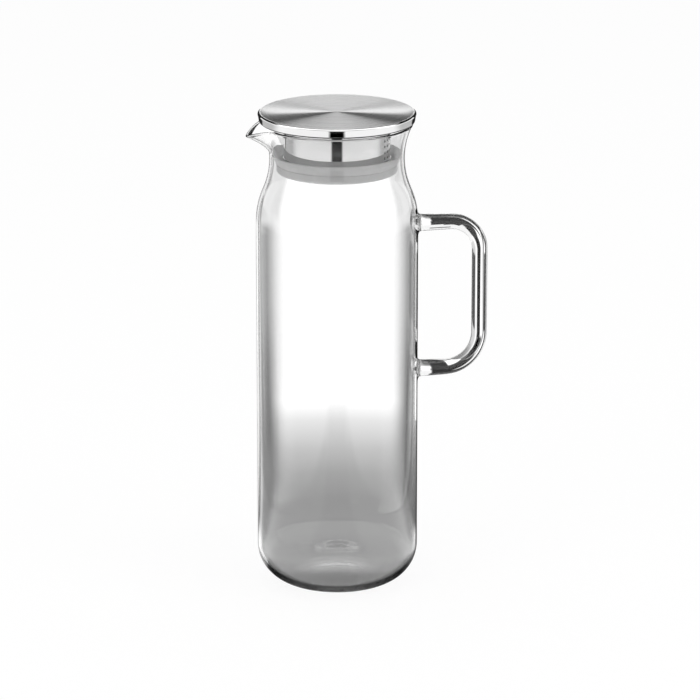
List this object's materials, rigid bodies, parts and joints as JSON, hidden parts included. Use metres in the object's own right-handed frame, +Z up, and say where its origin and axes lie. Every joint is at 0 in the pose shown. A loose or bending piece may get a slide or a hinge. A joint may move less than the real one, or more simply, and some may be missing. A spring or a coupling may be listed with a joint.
{
  "type": "glass pitcher with strainer lid",
  "caption": "Tall clear glass water jug with a drawn beak, a rod handle and a flat steel lid on a strainer collar with a silicone seal.",
  "frame": {"origin": "on the vessel's axis, in the plane of the flat ring that the jug stands on", "axes": "+Z up along the vessel's axis, +X towards the handle, the beak towards -X"},
  "size_m": [0.1431, 0.095, 0.2854],
  "materials": {
    "clear_glass": "clear, fire-polished borosilicate glass",
    "rod_glass": "clear, fire-polished solid glass rod",
    "brushed_steel": "circular-brushed top with a polished edge",
    "plain_steel": "plain rolled stainless sheet",
    "satin_steel": "satin stainless tube",
    "silicone": "translucent frosted silicone"
  },
  "bodies": {
    "jug": {"glass_body": "clear_glass", "glass_handle": "rod_glass"},
    "seal": {"silicone_seal": "silicone"},
    "lid": {"lid_cap": "brushed_steel", "lid_pan": "plain_steel", "strainer_collar": "satin_steel"}
  },
  "joints": [
    {"name": "lid_lift", "type": "slide", "parent": "jug", "child": "seal", "axis": [0, 0, 1], "range_m": [0, 0.11]},
    {"name": "lid_turn", "type": "hinge", "parent": "seal", "child": "lid", "pos_m": [0, 0, 0.28], "axis": [0, 0, 1], "continuous": true}
  ]
}
